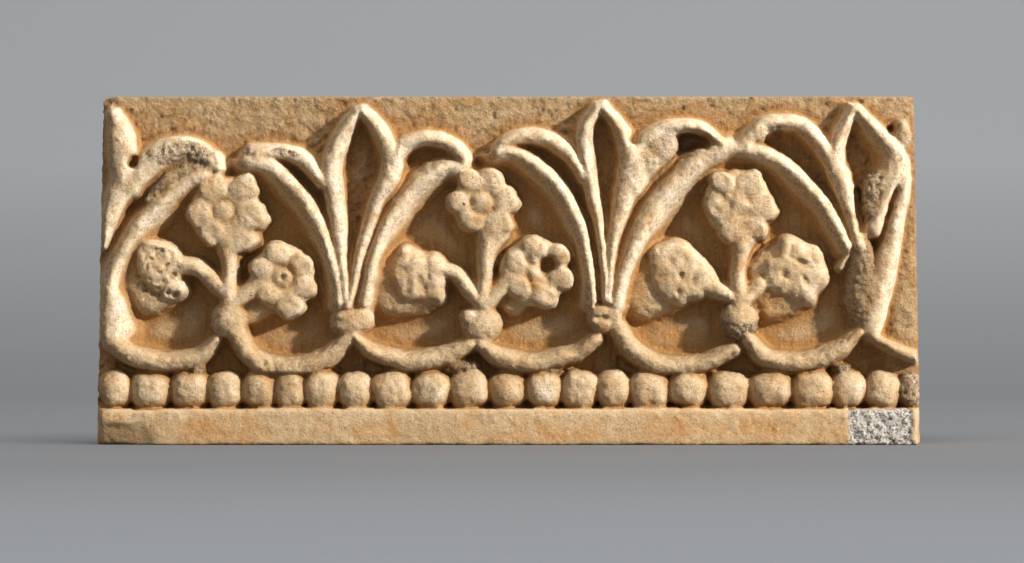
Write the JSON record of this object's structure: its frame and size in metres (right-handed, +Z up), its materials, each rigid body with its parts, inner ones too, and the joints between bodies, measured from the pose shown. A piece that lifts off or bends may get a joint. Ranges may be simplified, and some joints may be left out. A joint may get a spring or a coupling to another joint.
{
  "type": "carved stucco frieze panel",
  "caption": "Carved gypsum stucco frieze panel with arched palmettes, rosette sprays, scalloped stems, a bead row and a plain fillet.",
  "frame": {"origin": "middle of the panel's box, on the flat underside that it stands on", "axes": "+X along the panel's length to the viewer's right, +Y from the carved face into the slab, +Z up"},
  "size_m": [0.664, 0.0682, 0.28],
  "materials": {
    "gypsum_stucco": "matt, worn and earth-stained carved gypsum stucco, roughness about 0.92"
  },
  "bodies": {
    "root": {"stucco_panel": "gypsum_stucco"}
  },
  "joints": []
}
